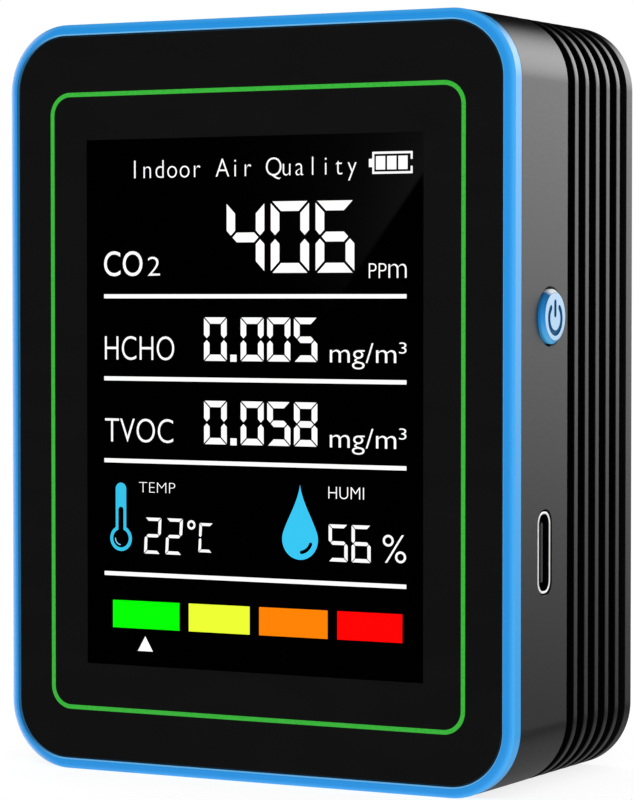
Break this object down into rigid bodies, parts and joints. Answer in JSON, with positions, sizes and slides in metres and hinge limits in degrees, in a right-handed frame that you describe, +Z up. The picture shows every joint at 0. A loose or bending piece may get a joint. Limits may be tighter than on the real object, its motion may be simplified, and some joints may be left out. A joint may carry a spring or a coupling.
{
  "type": "air quality monitor",
  "caption": "Upright desktop air quality monitor: ribbed vented case, coloured front bezel, black display window, side power button and charging port.",
  "frame": {"origin": "middle of the flat base of the case, on the surface it stands on", "axes": "+X to the right of someone facing the display, +Y from the display to the back, +Z up"},
  "size_m": [0.0646, 0.032, 0.085],
  "materials": {
    "blue_plastic": "satin sky blue moulding",
    "case_plastic": "satin near-black moulding with a very fine spark texture",
    "window": "polished black acrylic",
    "foam_tape": "black foam tape",
    "display_glass": "dark liquid crystal glass",
    "white_plastic": "white nylon or acrylic",
    "black_plastic": "black glass-filled nylon",
    "cream_plastic": "cream nylon",
    "board": "green solder mask on glass epoxy",
    "film": "amber polyimide film",
    "chip": "moulded epoxy",
    "ferrite": "ferrite",
    "pouch_foil": "satin foil",
    "red_wire": "red insulation",
    "black_wire": "black insulation",
    "steel": "bright nickel plate",
    "dark_steel": "black oxide",
    "gold_plate": "gilded metal"
  },
  "bodies": {
    "case": {"front_bezel": "blue_plastic", "front_panel": "window", "panel_adhesive": "foam_tape", "housing": "case_plastic", "rear_cover": "case_plastic", "rear_screw_1": "dark_steel", "rear_screw_2": "dark_steel", "rear_screw_3": "dark_steel", "rear_screw_4": "dark_steel", "board_screw_1": "steel", "board_screw_2": "steel", "board_screw_3": "steel", "board_screw_4": "steel", "switch_body": "black_plastic", "usb_shell": "steel", "usb_insulator": "black_plastic", "lcd_glass": "display_glass", "light_guide": "white_plastic", "led_strip": "cream_plastic", "lcd_carrier": "black_plastic", "lcd_flex": "film", "flex_socket": "cream_plastic", "main_board": "board", "controller_chip": "chip", "crystal": "steel", "charger_chip": "chip", "inductor": "ferrite", "battery_pad": "foam_tape", "battery_cell": "pouch_foil", "battery_socket": "cream_plastic", "battery_plug": "white_plastic", "battery_lead_red": "red_wire", "battery_lead_black": "black_wire", "co2_pin_header": "black_plastic", "co2_board": "board", "co2_chamber": "gold_plate", "formaldehyde_sensor": "white_plastic", "tvoc_sensor": "steel", "humidity_sensor": "white_plastic", "buzzer": "black_plastic"},
    "power_button": {"power_button": "blue_plastic"},
    "switch_plunger": {"switch_plunger": "white_plastic"}
  },
  "joints": [
    {"name": "power_press", "type": "slide", "parent": "case", "child": "power_button", "axis": [-1, 0, 0], "range_m": [0, 0.0003], "stiffness_N_per_m": 2000},
    {"name": "plunger_press", "type": "slide", "parent": "case", "child": "switch_plunger", "axis": [-1, 0, 0], "range_m": [0, 0.0003]}
  ],
  "couplings": [
    {"joint": "plunger_press", "follows": "power_press", "ratio": 1}
  ]
}
